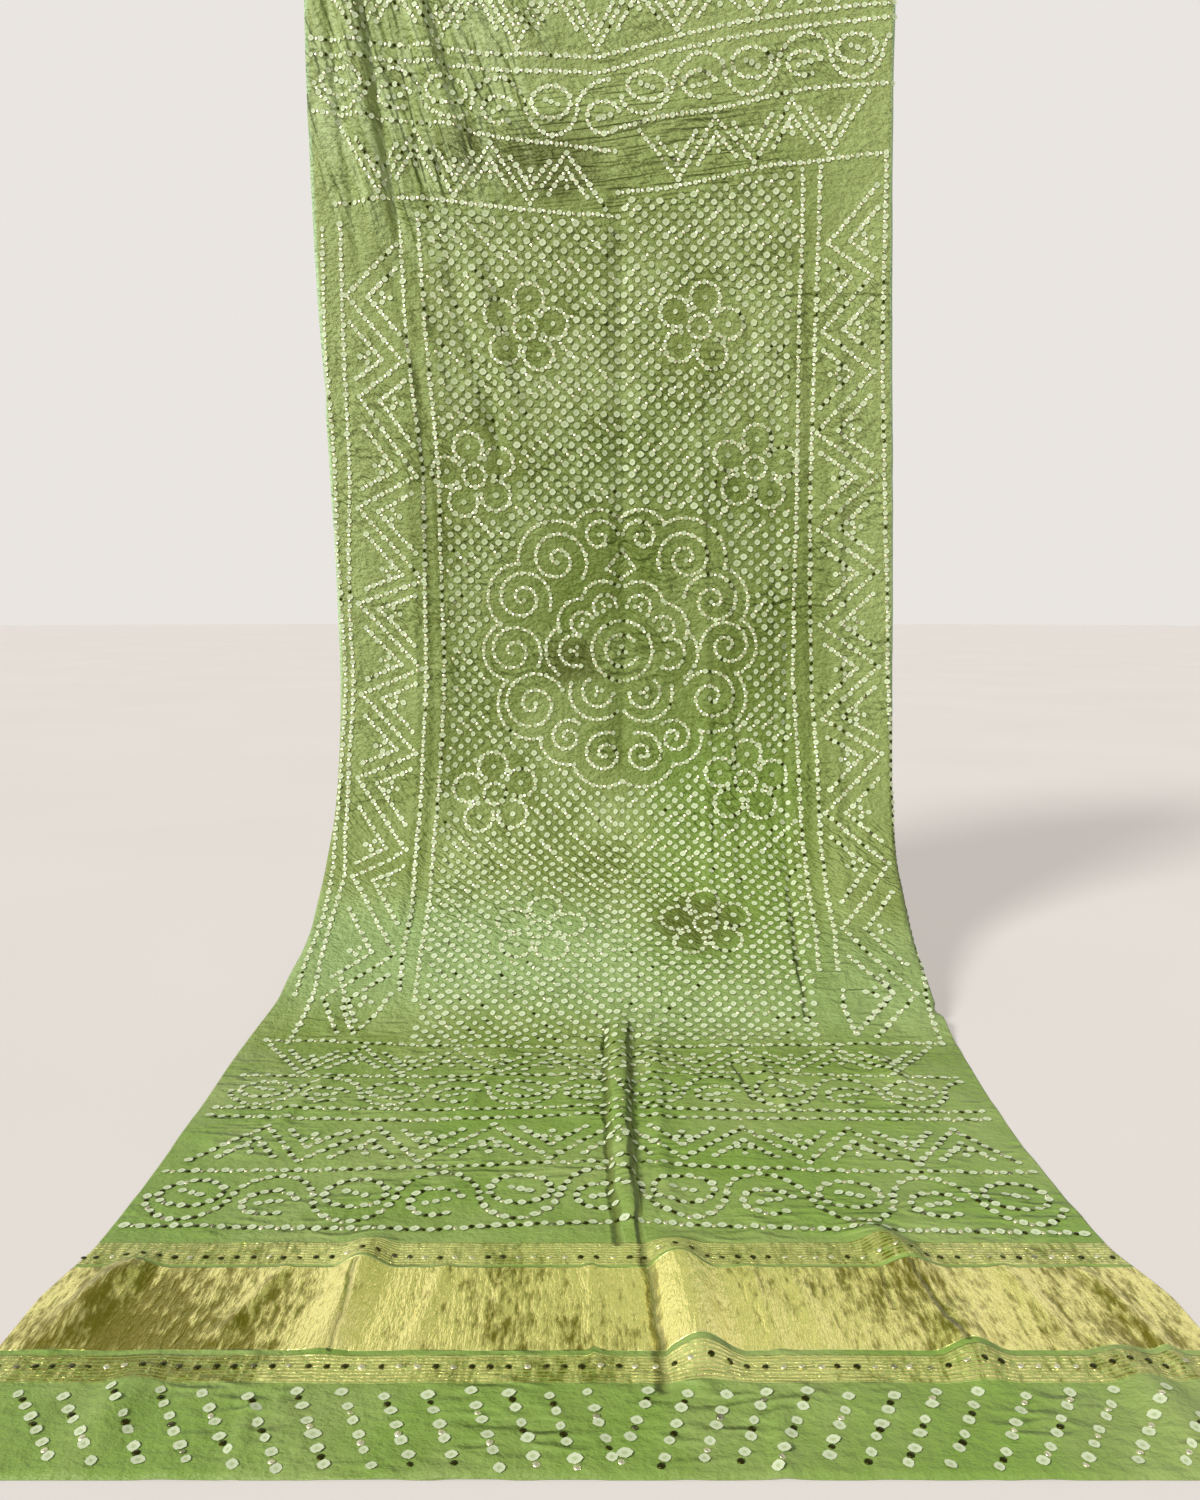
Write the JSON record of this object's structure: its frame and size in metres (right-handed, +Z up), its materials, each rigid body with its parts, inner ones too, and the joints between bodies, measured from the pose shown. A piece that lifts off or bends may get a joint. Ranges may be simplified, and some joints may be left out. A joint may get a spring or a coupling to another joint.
{
  "type": "bandhani cloth",
  "caption": "Long tied and dyed silk shawl with a woven gold band, hung from its top edge, its lower end curving out and lying flat on the floor.",
  "frame": {"origin": "middle of the top edge, on the hanging plane", "axes": "+Z up, +X across the cloth to the viewer's right, -Y from the cloth towards the viewer"},
  "size_m": [0.912, 1.1652, 1.5202],
  "materials": {
    "dyed_silk": "crinkled satin silk, tied and dyed green, with a woven gold band",
    "sequin_metal": "small polished gilt sequins"
  },
  "bodies": {
    "root": {"bandhani_cloth": "dyed_silk"}
  },
  "joints": []
}
